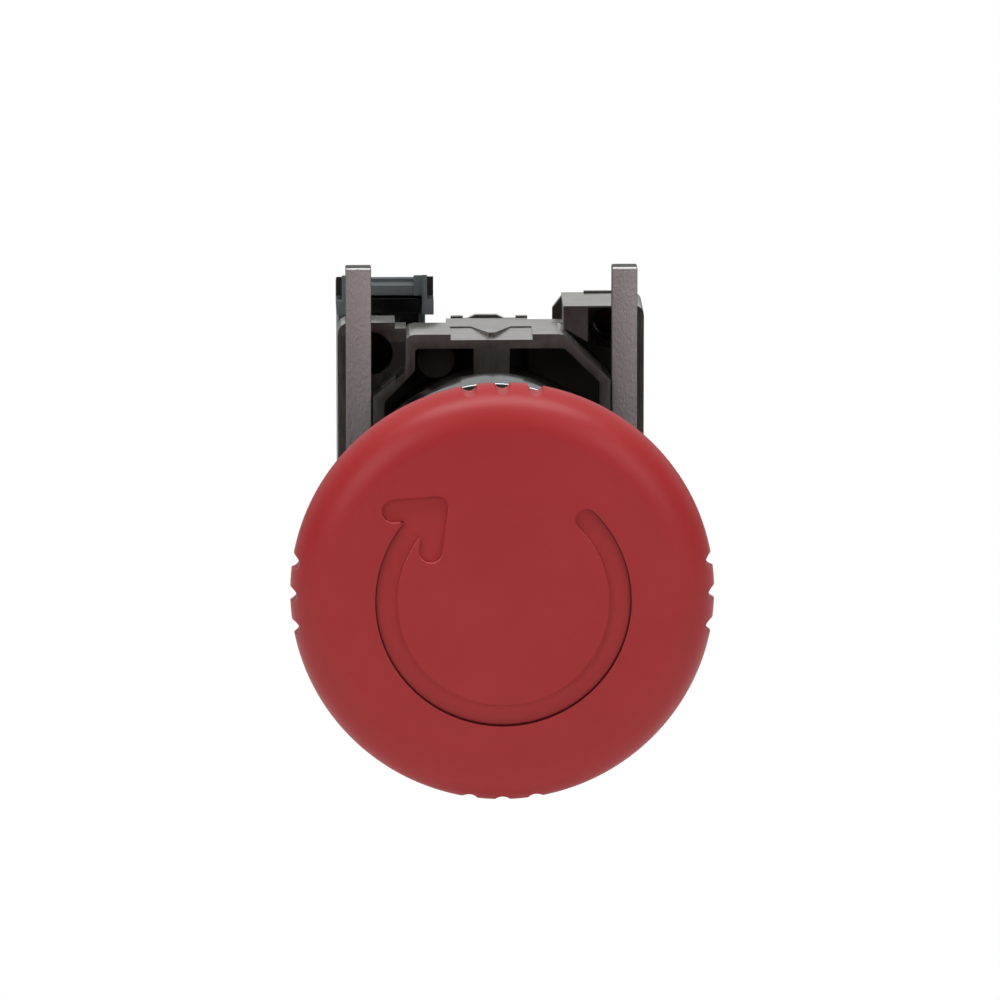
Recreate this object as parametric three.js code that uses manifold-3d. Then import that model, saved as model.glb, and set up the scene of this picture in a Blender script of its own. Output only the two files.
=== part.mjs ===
// An emergency stop button for a 22 mm panel hole. A red mushroom head latches when it is pushed and is
// released by a turn. A chromed bezel passes through the panel, a cast collar with two clamp bars holds it
// from behind, and one normally closed contact block clips onto the collar.
// Millimetres. The button's axis is Y with the head towards -Y, the panel's front face is Y = 0, +Z is up.

import * as THREE from "three";
import { mergeVertices } from "three/addons/utils/BufferGeometryUtils.js";
import Module from "manifold-3d";

const wasm = await Module();
wasm.setup();

// Round work
const SIDES = 48; // sides of a large turned piece
const SMALL_SIDES = 18; // sides of a small turned piece
const QUARTER = Math.PI / 2;

// Head
const TRAVEL = 5; // how far the head is pushed
const CAP_RADIUS = 20;
const CAP_FRONT = -39; // the crown of the head
const CROWN_RADIUS = 203; // of the slightly domed face
const EDGE_RADIUS = 4.4; // of the face's rounded edge, measured across
const EDGE_DEPTH = 4.2; // the same edge, measured along the axis
const RIM_REAR = -33.1;
const SKIRT_RADIUS = 13;
const SKIRT_REAR = -7.2;
const SKIRT_WALL = 1.2;
const FLARE = 9; // length of the flare behind the rim
const BOSS = 5.2; // radius of the boss that the spindle stands in
const BOSS_REAR_END = -27.2;
const NOTCH_RADIUS = 0.75; // of each grip notch
const NOTCH_CENTRE = 20.1; // from the axis
const NOTCH_STEP = 9; // degrees between the three notches of a group
const ARROW_RADIUS = 11; // middle of the engraved arrow's band
const ARROW_HALF = 1.05; // half the band's width
const ARROW_START = 45; // degrees, the round end
const ARROW_LEFT = [-10.45, 8.66]; // centres of the arrowhead's three round corners
const ARROW_TIP = [-6.29, 9.0];
const ARROW_LOW = [-6.82, 4.83];
const ARROW_FLOOR = -38.35;

// Spindle and latch
const SHAFT = 3;
const SPINDLE_FRONT = -35;
const SPINDLE_REAR = 17.6;
const CAM = 4; // radius of the thick end that holds the pawls apart
const CAM_LOW = 3.2; // radius at the foot of the ramp
const PAWL_PLANE = 9;
const PAWL_LENGTH = 3.4;
const PLATE_FRONT = 14.6;
const PLATE_THICK = 1.6;
const PLATE_RADIUS = 8.8;

// Bezel
const FLANGE_RADIUS = 14.5;
const FLANGE_FRONT = -5;
const FLANGE_REAR = -0.85;
const WELL_RADIUS = 13.4; // the recess that the skirt sinks into
const WELL_FLOOR = -2;
const GUIDE_RADIUS = 11.4; // the tube that stands inside the skirt
const GUIDE_FRONT = -13;
const NECK_RADIUS = 10.9;
const NECK_BORE = 9;
const NECK_REAR = 19.2;
const LOCK_GROOVE = [16.7, 18.5];
const LOCK_GROOVE_RADIUS = 10.1;
const LOCK_ANGLE = 60; // degrees, where the lock ring's teeth rest
const LOCK_TURN = 18; // degrees to let go

// Collar and clamp bars
const COLLAR_HALF = 15;
const COLLAR_FRONT = 6;
const COLLAR_STEP = 9.3; // the face behind the clamp bars
const POCKET_FLOOR = 12.2;
const COLLAR_REAR = 16.7;
const COLLAR_BORE = 11.2;
const COLLAR_RING = 12.9;
const CHANNEL = 11.6; // half the distance between the clamp bars' channels
const HOLE_X = 11.8;
const LOW_HOLE_Z = 14.5; // the screw hole of the lower tower
const TALL_HOLE_Z = 16.65; // and of the taller one
const HOLE_RADIUS = 2.2;
const THREAD_BORE = 1.6;
const THREAD_START = 12.8;
const BOSS_RADIUS = 2.3;
const BOSS_REAR = 18.6;
const BAR_INNER = 11.75;
const BAR_OUTER = 14.25;
const BAR_TOP = 23.5;
const BAR_FOOT = -22.2;
const BAR_FRONT = 6.5;
const BAR_REAR = 8.6;
const SCREW_FRONT = 15.3;
const SCREW_REAR = 21.9;
const SCREW_RADIUS = 1.5;

// Contact block
const BLOCK_LEFT = -14.8;
const COVER_INNER = -14.05;
const BLOCK_RIGHT = -6.2;
const BLOCK_FRONT = 22.2;
const BLOCK_REAR = 43;
const BLOCK_WALL = 1.1;
const EAR_FRONT = 17;
const EAR_TOP = 20.9;
const SLOPE = 0.245; // the block's ends come in towards its rear, for each millimetre along it
const EAR_FOOT = 16.9;
const CONTACT_X = -10.1; // middle of the contacts and the spring
const TERMINAL_X = -10.6;
const TERMINAL_Z = 10.8;
const CLAMP_HALF = 2.6;
const KNEE = 8.2; // where the fixed contacts turn towards the rear
const TIP_Z = 6.4;
const ARM_FRONT = 28.6; // the fixed contacts' arms
const STRIP = 0.8; // thickness of the contact strips
const BRIDGE_FRONT = 31;

const degrees = THREE.MathUtils.degToRad;

// A solid of revolution about Y from [radius, y] points. It closes on the axis or on its first point.
function turned(profile, sides = SIDES) {
  const points = profile.map(([radius, y]) => new THREE.Vector2(radius, y));
  if (THREE.ShapeUtils.area(points) < 0) points.reverse();
  const onAxis = points[0].x === 0 && points.at(-1).x === 0;
  if (!onAxis) points.push(points[0].clone());
  return new THREE.LatheGeometry(points, sides);
}

function rod(radius, front, rear, x = 0, z = 0, sides = SMALL_SIDES) {
  const profile = [[0, front], [radius, front], [radius, rear], [0, rear]];
  return turned(profile, sides).translate(x, 0, z);
}

function ring(inner, outer, front, rear, sides = SIDES) {
  return turned([[inner, front], [outer, front], [outer, rear], [inner, rear]], sides);
}

function block([x0, x1], [y0, y1], [z0, z1]) {
  const box = new THREE.BoxGeometry(x1 - x0, y1 - y0, z1 - z0);
  return box.translate((x0 + x1) / 2, (y0 + y1) / 2, (z0 + z1) / 2);
}

// A shape in X and Z, extruded along Y from front to rear.
function plate(shape, front, rear) {
  const geometry = new THREE.ExtrudeGeometry(shape, {
    depth: rear - front,
    bevelEnabled: false,
    curveSegments: 4,
  });
  return geometry.rotateX(QUARTER).translate(0, rear, 0);
}

function outline(points) {
  return new THREE.Shape(points.map(([a, b]) => new THREE.Vector2(a, b)));
}

// The corners of an outline. A corner's third number says how far from it the rounding starts.
function softened(corners) {
  const count = corners.length;
  return corners.flatMap(([x, z, reach = 0], place) => {
    if (reach === 0) return [[x, z]];
    const corner = new THREE.Vector2(x, z);
    const towards = ([a, b]) => new THREE.Vector2(a, b).sub(corner).setLength(reach).add(corner);
    const start = towards(corners[(place + count - 1) % count]);
    const end = towards(corners[(place + 1) % count]);
    return new THREE.QuadraticBezierCurve(start, corner, end).getPoints(3).map((p) => [p.x, p.y]);
  });
}

// A solid from an outline in Y and Z, between two places along X.
function slab(points, [left, right]) {
  const solid = new THREE.ExtrudeGeometry(outline(points), {
    depth: right - left,
    bevelEnabled: false,
  });
  const axes = new THREE.Matrix4().makeBasis(
    new THREE.Vector3(0, 1, 0),
    new THREE.Vector3(0, 0, 1),
    new THREE.Vector3(1, 0, 0),
  );
  return solid.applyMatrix4(axes).translate(left, 0, 0);
}

// A rectangle in X and Z with one rounded upper outer corner. The sign says which side is outer.
function tower(inner, outer, foot, roof, radius) {
  const side = Math.sign(outer);
  const shape = new THREE.Shape();
  shape.moveTo(inner, foot);
  shape.lineTo(outer, foot);
  shape.lineTo(outer, roof - radius);
  shape.quadraticCurveTo(outer, roof, outer - side * radius, roof);
  shape.lineTo(inner, roof);
  shape.closePath();
  return shape;
}

// A bar with round ends between two points.
function stadium([x0, z0], [x1, z1], radius) {
  const along = Math.atan2(z1 - z0, x1 - x0);
  const shape = new THREE.Shape();
  shape.absarc(x0, z0, radius, along + QUARTER, along + 3 * QUARTER, false);
  shape.absarc(x1, z1, radius, along - QUARTER, along + QUARTER, false);
  shape.closePath();
  return shape;
}

function toSolid(geometry) {
  const bare = geometry.clone();
  bare.deleteAttribute("normal");
  bare.deleteAttribute("uv");
  const merged = mergeVertices(bare, 1e-4);
  return new wasm.Manifold(
    new wasm.Mesh({
      numProp: 3,
      vertProperties: merged.attributes.position.array,
      triVerts: new Uint32Array(merged.index.array),
    }),
  );
}

function toGeometry(solid) {
  const { vertProperties, triVerts } = solid.getMesh();
  const geometry = new THREE.BufferGeometry();
  geometry.setAttribute("position", new THREE.BufferAttribute(vertProperties, 3));
  geometry.setIndex(new THREE.BufferAttribute(triVerts, 1));
  geometry.computeVertexNormals();
  return geometry;
}

function join(first, ...others) {
  return toGeometry(others.reduce((made, other) => made.add(toSolid(other)), toSolid(first)));
}

function cut(first, ...tools) {
  return toGeometry(tools.reduce((made, tool) => made.subtract(toSolid(tool)), toSolid(first)));
}

function common(first, second) {
  return toGeometry(toSolid(first).intersect(toSolid(second)));
}

// Turns a geometry about the button's axis, from +X towards +Z.
function around(geometry, angle) {
  return geometry.clone().rotateY(-degrees(angle));
}

// Its twin, half a turn round the button's axis.
function opposite(geometry) {
  return around(geometry, 180);
}

function mirroredDown(geometry) {
  const twin = geometry.clone().scale(1, 1, -1);
  const order = twin.index ? twin.index.array : twin.attributes.position.array;
  const step = twin.index ? 1 : 3;
  for (let i = 0; i < order.length; i += 3 * step) {
    for (let k = 0; k < step; k += 1) {
      const kept = order[i + k];
      order[i + k] = order[i + step + k];
      order[i + step + k] = kept;
    }
  }
  return twin;
}

function piece(name, geometry, color, roughness, metalness) {
  const material = new THREE.MeshStandardMaterial({ color, roughness, metalness });
  const mesh = new THREE.Mesh(geometry, material);
  mesh.name = name;
  return mesh;
}

const plastic = (name, geometry, color) => piece(name, geometry, color, 0.5, 0);
const metal = (name, geometry, color) => piece(name, geometry, color, 0.3, 1);

const RED = 0xc03a3c;
const CHROME = 0xd8dade;
const ZINC = 0x8d8880;
const BAR_GREY = 0x7d7374;
const STEEL = 0xb6b8ba;
const BRASS = 0xc9a552;
const SILVER = 0xd9d9d6;
const BLACK = 0x17181a;
const SLATE = 0x4e5657;
const CREAM = 0xb9b6a6;
const RUBBER = 0x1d1d1d;

class Coil extends THREE.Curve {
  // One closer turn at each end, and evenly spaced turns between them.
  constructor(radius, wire, turns, front, rear) {
    super();
    this.radius = radius;
    this.turns = turns;
    this.front = front + wire;
    this.endPitch = 2.3 * wire;
    this.pitch = (rear - front - 2 * wire - 2 * this.endPitch) / (turns - 2);
  }

  getPoint(t) {
    const turn = t * this.turns;
    const first = Math.min(turn, 1);
    const last = Math.max(turn - this.turns + 1, 0);
    const y = this.front + (first + last) * this.endPitch + (turn - first - last) * this.pitch;
    const angle = 2 * Math.PI * turn;
    return new THREE.Vector3(this.radius * Math.cos(angle), y, this.radius * Math.sin(angle));
  }
}

function wireAlong(curve, wire, steps) {
  const section = new THREE.Shape();
  section.absarc(0, 0, wire, 0, 2 * Math.PI, false);
  return new THREE.ExtrudeGeometry(section, {
    extrudePath: curve,
    steps,
    bevelEnabled: false,
    curveSegments: 3,
  });
}

// ---- Head ----

function capProfile() {
  const points = [];
  const edgeStart = CAP_RADIUS - EDGE_RADIUS;
  for (let step = 0; step <= 2; step += 1) {
    const radius = (edgeStart * step) / 2;
    points.push([radius, CAP_FRONT + radius ** 2 / (2 * CROWN_RADIUS)]);
  }
  const edgeFront = CAP_FRONT + edgeStart ** 2 / (2 * CROWN_RADIUS);
  for (let angle = 22.5; angle <= 90; angle += 22.5) {
    const across = EDGE_RADIUS * Math.sin(degrees(angle));
    const along = EDGE_DEPTH * (1 - Math.cos(degrees(angle)));
    points.push([edgeStart + across, edgeFront + along]);
  }
  points.push([CAP_RADIUS, RIM_REAR - 0.4], [CAP_RADIUS - 0.4, RIM_REAR]);
  const neckStart = RIM_REAR + FLARE;
  const underside = new THREE.QuadraticBezierCurve(
    new THREE.Vector2(18.2, RIM_REAR),
    new THREE.Vector2(SKIRT_RADIUS, RIM_REAR + 0.5),
    new THREE.Vector2(SKIRT_RADIUS, neckStart),
  );
  underside.getPoints(5).forEach((p) => points.push([p.x, p.y]));
  const bore = SKIRT_RADIUS - SKIRT_WALL;
  points.push([SKIRT_RADIUS, SKIRT_REAR], [bore, SKIRT_REAR]);
  const inside = new THREE.QuadraticBezierCurve(
    new THREE.Vector2(bore, neckStart),
    new THREE.Vector2(bore, RIM_REAR + 0.2),
    new THREE.Vector2(16.6, RIM_REAR - 1),
  );
  inside.getPoints(3).forEach((p) => points.push([p.x, p.y]));
  const socket = SHAFT + 0.15;
  const socketFloor = SPINDLE_FRONT - 0.2;
  points.push([15.2, CAP_FRONT + 2.6], [BOSS, CAP_FRONT + 2.4]);
  points.push([BOSS, BOSS_REAR_END], [socket, BOSS_REAR_END], [socket, socketFloor], [0, socketFloor]);
  return points;
}

function gripNotches() {
  const notches = [];
  for (let quarter = 0; quarter < 360; quarter += 90) {
    for (const side of [-NOTCH_STEP, 0, NOTCH_STEP]) {
      const notch = rod(NOTCH_RADIUS, CAP_FRONT - 1, RIM_REAR + 0.6, NOTCH_CENTRE, 0, 10);
      notches.push(around(notch, quarter + side));
    }
  }
  return notches;
}

// The engraved arrow: a band that runs clockwise, a round end and an arrowhead of two round bars.
function turnArrow() {
  const tipAngle = Math.atan2(ARROW_TIP[1], ARROW_TIP[0]) - 2 * Math.PI;
  const start = degrees(ARROW_START);
  const band = new THREE.Shape();
  band.absarc(0, 0, ARROW_RADIUS + ARROW_HALF, start, tipAngle, true);
  band.absarc(0, 0, ARROW_RADIUS - ARROW_HALF, tipAngle, start, false);
  band.closePath();
  const end = [ARROW_RADIUS * Math.cos(start), ARROW_RADIUS * Math.sin(start)];
  const front = CAP_FRONT - 1;
  const bandTool = new THREE.ExtrudeGeometry(band, {
    depth: ARROW_FLOOR - front,
    bevelEnabled: false,
    curveSegments: 20,
  });
  return join(
    bandTool.rotateX(QUARTER).translate(0, ARROW_FLOOR, 0),
    rod(ARROW_HALF, front, ARROW_FLOOR, end[0], end[1], 12),
    plate(stadium(ARROW_LEFT, ARROW_TIP, ARROW_HALF), front, ARROW_FLOOR),
    plate(stadium(ARROW_TIP, ARROW_LOW, ARROW_HALF), front, ARROW_FLOOR),
  );
}

function mushroomCap() {
  const shell = cut(turned(capProfile()), ...gripNotches(), turnArrow());
  return plastic("mushroom_cap", shell, RED);
}

function spindle() {
  const profile = [
    [0, SPINDLE_FRONT],
    [SHAFT, SPINDLE_FRONT],
    [SHAFT, PAWL_PLANE - TRAVEL],
    [CAM_LOW, PAWL_PLANE - TRAVEL],
    [CAM, PAWL_PLANE],
    [CAM, PLATE_FRONT - 0.2],
    [2.4, PLATE_FRONT - 0.2],
    [2.4, 16.35],
    [1.9, 16.35],
    [1.9, 17.05],
    [2.4, 17.05],
    [2.4, SPINDLE_REAR],
    [0, SPINDLE_REAR],
  ];
  return metal("spindle", turned(profile, SMALL_SIDES), STEEL);
}

function capClip() {
  const [front, rear] = [BOSS_REAR_END + 0.1, BOSS_REAR_END + 0.6];
  const teeth = [];
  for (let angle = 0; angle < 360; angle += 60) {
    teeth.push(around(block([SHAFT + 0.1, 4], [front - 1, rear + 1], [-0.2, 0.2]), angle));
  }
  const clip = cut(ring(SHAFT + 0.1, 5, front, rear, SMALL_SIDES), ...teeth);
  return metal("cap_clip", clip, STEEL);
}

function actuatorPlate() {
  const rear = PLATE_FRONT + PLATE_THICK;
  const disc = ring(2.55, PLATE_RADIUS, PLATE_FRONT, rear);
  const slots = [90, 270].map((angle) =>
    around(block([5, 7], [PLATE_FRONT - 1, rear + 1], [-1, 1]), angle),
  );
  return plastic("actuator_plate", cut(disc, ...slots), BLACK);
}

function plateClip() {
  const clip = cut(
    ring(2.05, 4.2, 16.4, 17, SMALL_SIDES),
    block([-1.2, 1.2], [16, 18], [-5, 0]),
  );
  return metal("plate_clip", clip, STEEL);
}

// ---- Bezel and what it holds ----

function bezel() {
  const body = turned([
    [WELL_RADIUS, FLANGE_FRONT + 0.3],
    [WELL_RADIUS + 0.3, FLANGE_FRONT],
    [FLANGE_RADIUS - 0.45, FLANGE_FRONT],
    [FLANGE_RADIUS, FLANGE_FRONT + 0.45],
    [FLANGE_RADIUS, FLANGE_REAR],
    [NECK_RADIUS, FLANGE_REAR],
    [NECK_RADIUS, LOCK_GROOVE[0]],
    [LOCK_GROOVE_RADIUS, LOCK_GROOVE[0]],
    [LOCK_GROOVE_RADIUS, LOCK_GROOVE[1]],
    [NECK_RADIUS, LOCK_GROOVE[1]],
    [NECK_RADIUS, NECK_REAR],
    [NECK_BORE, NECK_REAR],
    [NECK_BORE, WELL_FLOOR],
    [GUIDE_RADIUS - 1.2, WELL_FLOOR],
    [GUIDE_RADIUS - 1.2, GUIDE_FRONT],
    [GUIDE_RADIUS, GUIDE_FRONT],
    [GUIDE_RADIUS, WELL_FLOOR],
    [WELL_RADIUS, WELL_FLOOR],
  ]);
  const rib = block([-1, 1], [FLANGE_REAR - 0.2, 4], [NECK_RADIUS - 0.5, NECK_RADIUS + 0.7]);
  const slot = block([LOCK_GROOVE_RADIUS, 12], [LOCK_GROOVE[1] - 0.1, NECK_REAR + 1], [-2.1, 2.1]);
  const open = LOCK_ANGLE - LOCK_TURN;
  const shell = cut(join(body, rib), around(slot, open), around(slot, open + 180));
  return metal("bezel", shell, CHROME);
}

function panelGasket() {
  const notch = block([-1.3, 1.3], [-2, 1], [0, NECK_RADIUS + 1]);
  const seal = cut(ring(NECK_RADIUS + 0.3, FLANGE_RADIUS - 0.2, FLANGE_REAR + 0.05, 0), notch);
  return piece("panel_gasket", seal, RUBBER, 0.8, 0);
}

// The guide sleeve in the neck, with two windows for the pawls and a groove for their ring spring.
function latchInsert() {
  const sleeve = turned([
    [5.6, -1.3],
    [PLATE_RADIUS, -1.3],
    [PLATE_RADIUS, PAWL_PLANE - 0.7],
    [7.75, PAWL_PLANE - 0.7],
    [7.75, PAWL_PLANE + 0.7],
    [PLATE_RADIUS, PAWL_PLANE + 0.7],
    [PLATE_RADIUS, 12.5],
    [4.3, 12.5],
    [4.3, 0.8],
    [5.6, 0.8],
  ], 36);
  const window = block([3, 9.5], [PAWL_PLANE - 0.95, PAWL_PLANE + 0.95], [-1.8, 1.8]);
  return plastic("latch_insert", cut(sleeve, window, opposite(window)), CREAM);
}

function latchPawl(name, angle) {
  const inner = CAM + 0.2;
  const body = block(
    [inner, inner + PAWL_LENGTH],
    [PAWL_PLANE - 0.8, PAWL_PLANE + 0.8],
    [-1.6, 1.6],
  );
  return metal(name, around(body, angle), STEEL);
}

function latchRingSpring() {
  const arc = new THREE.CatmullRomCurve3(
    Array.from({ length: 25 }, (_, step) => {
      const angle = degrees(100 + (step * 340) / 24);
      return new THREE.Vector3(8.25 * Math.cos(angle), PAWL_PLANE, 8.25 * Math.sin(angle));
    }),
  );
  return metal("latch_ring_spring", wireAlong(arc, 0.35, 24), STEEL);
}

function stemSeal() {
  const profile = [
    [SHAFT + 0.2, -0.6],
    [SHAFT + 1, -1.15],
    [5.3, -1.15],
    [5.3, 0.5],
    [SHAFT + 1, 0.5],
    [SHAFT + 0.2, 0.1],
  ];
  return piece("stem_seal", turned(profile, SMALL_SIDES), RUBBER, 0.8, 0);
}

function springSeat() {
  return metal("spring_seat", ring(SHAFT + 0.6, 8.5, -1.95, -1.4, SMALL_SIDES), STEEL);
}

function insertCirclip() {
  const gap = block([-1.5, 1.5], [12, 14], [0, 10]);
  return metal("insert_circlip", cut(ring(6.8, 8.9, 12.7, 13.5, 36), gap), STEEL);
}

function returnSpring() {
  return metal("return_spring", wireAlong(new Coil(4.6, 0.5, 7, -26.4, -2.1), 0.5, 70), STEEL);
}

// ---- Collar and clamps ----

const RIM_UPPER = [
  [CHANNEL, 12.4],
  [7, 17, 0.5],
  [-8.4, 17, 0.9],
  [-8.4, 13.6, 0.3],
  [-CHANNEL, 10.75],
];
const POCKET_UPPER = [
  [10.55, 12.2, 0.3],
  [7.1, 15.6, 0.3],
  [-7.5, 15.6, 0.4],
  [-7.5, 13.4, 0.3],
  [-10.5, 10.3, 0.4],
];

// The lower half of an outline is the upper half, turned round the axis.
function bothHalves(upper) {
  return outline(softened([...upper, ...upper.map(([x, z, reach]) => [-x, -z, reach])]));
}

// The tall right tower and the low left one that stand beside the rim.
function towers() {
  const low = plate(tower(-9.4, -COLLAR_HALF, 0, 17.6, 1.3), COLLAR_STEP, 13);
  const lowShelf = block([-9.6, -8.3], [COLLAR_STEP, 12.6], [10, 17]);
  const tall = plate(tower(7.1, COLLAR_HALF, 0, 19.15, 1), COLLAR_STEP, COLLAR_REAR);
  const brow = block([9.3, 14.6], [COLLAR_REAR - 0.5, COLLAR_REAR], [18, 19.35]);
  const gusset = plate(outline([[7.3, 14], [7.3, 19.15], [6.2, 17.7], [6.2, 14]]), 15.9, COLLAR_REAR);
  return [low, lowShelf, tall, brow, gusset];
}

function screwBoss(x, z) {
  return rod(BOSS_RADIUS, 12.5, BOSS_REAR, x, z);
}

function screwHole(x, z, rear) {
  return join(
    rod(HOLE_RADIUS, COLLAR_STEP - 4, THREAD_START, x, z),
    rod(THREAD_BORE, THREAD_START - 0.1, rear, x, z),
  );
}

function roofRidge() {
  return plate(
    outline([
      [-3.8, 14], [3.75, 14], [3.75, 16.9], [2.6, 16.9], [2.6, 16.65], [1.5, 16.65],
      [0.7, 17.03], [-1.4, 17.03], [-2.2, 16.65], [-2.6, 16.65], [-2.6, 16.9], [-3.8, 16.9],
    ]),
    COLLAR_REAR - 0.6,
    COLLAR_REAR,
  );
}

// The mark on the roof: a shallow sloped recess that leaves a raised pointer.
function roofMark() {
  const front = COLLAR_FRONT - 1;
  const rear = 10.2;
  const slope = slab([[front, 16.35], [rear, 16.88], [rear, 18], [front, 18]], [-4, 4]);
  const pointer = new THREE.ExtrudeGeometry(
    outline([[-2, rear + 0.1], [-0.3, 7], [0.3, 7], [2, rear + 0.1]]),
    { depth: 3, bevelEnabled: false },
  );
  return cut(slope, pointer.translate(0, 0, 15.5));
}

// Beside the rim, a recess round the tall tower's hole and a deeper groove along the rim.
function towerRecess() {
  const groove = outline([[7.3, 16.9], [9.77, 15.36], [12, 14.6], [12, 12], [11, 12], [7, 16]]);
  return cut(
    join(block([9.5, 13.9], [0, 11.1], [14.9, 18.95]), plate(groove, 0, 12)),
    plate(bothHalves(RIM_UPPER), -1, 20),
  );
}

function fixingCollar() {
  const rear = outline([
    [COLLAR_HALF, -11.5], [COLLAR_HALF, 11.5], [9.5, 15.5], [-9.5, 15.5],
    [-COLLAR_HALF, 11.5], [-COLLAR_HALF, -11.5], [-9.5, -15.5], [9.5, -15.5],
  ]);
  const side = block([9, COLLAR_HALF], [COLLAR_STEP, COLLAR_REAR], [-11.6, 11.6]);
  const roof = join(
    block([-4.3, 3.7], [12, 14.5], [14, 17]),
    block([3.6, 7.1], [12, 13.9], [14, 17]),
    roofRidge(),
  );
  const upper = join(...towers(), roof);
  const mass = join(
    plate(bothHalves(RIM_UPPER), COLLAR_FRONT, POCKET_FLOOR + 0.1),
    plate(rear, POCKET_FLOOR, COLLAR_REAR),
    side,
    opposite(side),
    upper,
    opposite(upper),
    rod(COLLAR_RING, COLLAR_FRONT, COLLAR_REAR, 0, 0, SIDES),
    screwBoss(-HOLE_X, LOW_HOLE_Z),
    screwBoss(HOLE_X, TALL_HOLE_Z),
  );
  const pockets = cut(
    plate(bothHalves(POCKET_UPPER), COLLAR_FRONT - 1, POCKET_FLOOR),
    rod(COLLAR_RING, 0, 20, 0, 0, SIDES),
    block([-1.75, 1.75], [0, 20], [-18, 18]),
    rod(1.85, 9.2, 14, -5.4, 13.9),
    rod(1.85, 9.2, 14, 5.4, -13.9),
    block([3.7, 12], [11.2, 14], [8, 18]),
  );
  const channel = block([CHANNEL, 20], [0, COLLAR_STEP], [-30, 30]);
  const recess = towerRecess();
  const hook = block([-9, -6.6], [14.9, 18], [12.1, 13.9]);
  const gap = plate(outline([[-9.35, 20], [-9.35, 12.2], [-8.5, 12.9], [-8.5, 20]]), 5, 8.2);
  const body = cut(
    mass,
    pockets,
    rod(COLLAR_BORE, 0, 30, 0, 0, SIDES),
    channel,
    opposite(channel),
    recess,
    opposite(recess),
    gap,
    opposite(gap),
    hook,
    mirroredDown(hook),
    roofMark(),
    screwHole(-HOLE_X, LOW_HOLE_Z, 30),
    screwHole(HOLE_X, TALL_HOLE_Z, 30),
    rod(HOLE_RADIUS, 0, SCREW_FRONT, HOLE_X, -LOW_HOLE_Z),
    rod(HOLE_RADIUS, 0, SCREW_FRONT, -HOLE_X, -TALL_HOLE_Z),
  );
  return metal("fixing_collar", body, ZINC);
}

// A flat bar with two D-shaped pegs behind it that slide in the collar's holes.
function clampBar(name, side, screwZ, guideZ) {
  const bar = plate(
    outline([
      [BAR_INNER, BAR_FOOT], [BAR_OUTER, BAR_FOOT],
      [BAR_OUTER, BAR_TOP], [BAR_INNER, BAR_TOP],
    ]),
    BAR_FRONT,
    BAR_REAR,
  );
  const outside = block([HOLE_X + 0.2, BAR_OUTER - 0.05], [0, 30], [-30, 30]);
  const pegs = join(
    rod(HOLE_RADIUS - 0.2, BAR_REAR - 0.5, THREAD_START - 0.3, HOLE_X, screwZ),
    rod(THREAD_BORE - 0.2, BAR_REAR, SCREW_FRONT - 0.2, HOLE_X, screwZ),
    rod(HOLE_RADIUS - 0.2, BAR_REAR - 0.5, SCREW_FRONT - 0.3, HOLE_X, guideZ),
  );
  const made = join(bar, common(pegs, outside));
  const turnedRound = side < 0 ? mirroredDown(opposite(made)) : made;
  return metal(name, turnedRound, BAR_GREY);
}

function clampScrew(name, x, z) {
  const recess = join(
    block([x - 1, x + 1], [SCREW_REAR - 1.2, SCREW_REAR + 1], [z - 0.25, z + 0.25]),
    block([x - 0.25, x + 0.25], [SCREW_REAR - 1.2, SCREW_REAR + 1], [z - 1, z + 1]),
  );
  return metal(name, cut(rod(SCREW_RADIUS, SCREW_FRONT, SCREW_REAR, x, z), recess), STEEL);
}

// The flat ring that locks the collar onto the neck, with two inner teeth and a folded lever.
function lockRing() {
  const [front, rear] = [LOCK_GROOVE[0] + 0.2, LOCK_GROOVE[1] - 0.2];
  const tooth = block([LOCK_GROOVE_RADIUS + 0.25, 11.8], [front, rear], [-1.5, 1.5]);
  const lever = join(
    block([12, 17.2], [front, rear], [-2, 2]),
    block([16.2, 17.2], [front, 21.4], [-2, 2]),
  );
  const body = join(
    ring(NECK_RADIUS + 0.3, 13.2, front, rear),
    around(tooth, LOCK_ANGLE),
    around(tooth, LOCK_ANGLE + 180),
    around(lever, -45),
  );
  return metal("lock_ring", body, STEEL);
}

// ---- Contact block ----

// The height of the block's upper end. It comes down towards the rear in one slope.
const roofAt = (y) => EAR_TOP - SLOPE * (y - EAR_FRONT);

function ear(left, right) {
  const rear = BLOCK_FRONT + 1.5;
  const side = [[EAR_FRONT, EAR_FOOT], [rear, EAR_FOOT], [rear, roofAt(rear)], [EAR_FRONT, EAR_TOP]];
  return slab(side, [left, right]);
}

// The blind slot in an ear's front face.
function earSlot(left, right) {
  return block([left, right], [EAR_FRONT - 1, EAR_FRONT + 2.4], [18.4, EAR_TOP - 0.15]);
}

// The block's side view, made smaller all round by a wall.
function sideView(wall) {
  const front = BLOCK_FRONT + wall;
  const rear = BLOCK_REAR - wall;
  const [high, low] = [roofAt(front) - wall, roofAt(rear) - wall];
  return [[front, -high], [rear, -low], [rear, low], [front, high]];
}

function wireEntry() {
  return block([TERMINAL_X - 1.9, TERMINAL_X + 1.9], [36.7, 39.3], [12.2, 17]);
}

// The upper front of the housing: an ear and the ledges over the latch, all under the slope.
function housingTop() {
  const left = COVER_INNER + 0.05;
  const rear = BLOCK_FRONT + 0.8;
  const under = 18.75;
  const above = slab(
    [[EAR_FRONT, EAR_TOP], [rear + 1, roofAt(rear + 1)], [rear + 1, 23], [EAR_FRONT, 23]],
    [-15, -5],
  );
  const ledges = join(
    block([-7.4, -6.5], [EAR_FRONT + 0.4, rear], [under, EAR_TOP]),
    block([left, -6.5], [EAR_FRONT + 0.6, rear], [under, 19.75]),
    block([left, -6.5], [EAR_FRONT + 2.4, rear], [under, 20.1]),
  );
  return cut(join(ear(-6.6, -5.45), ledges), above, earSlot(-6.1, -5));
}

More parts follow.
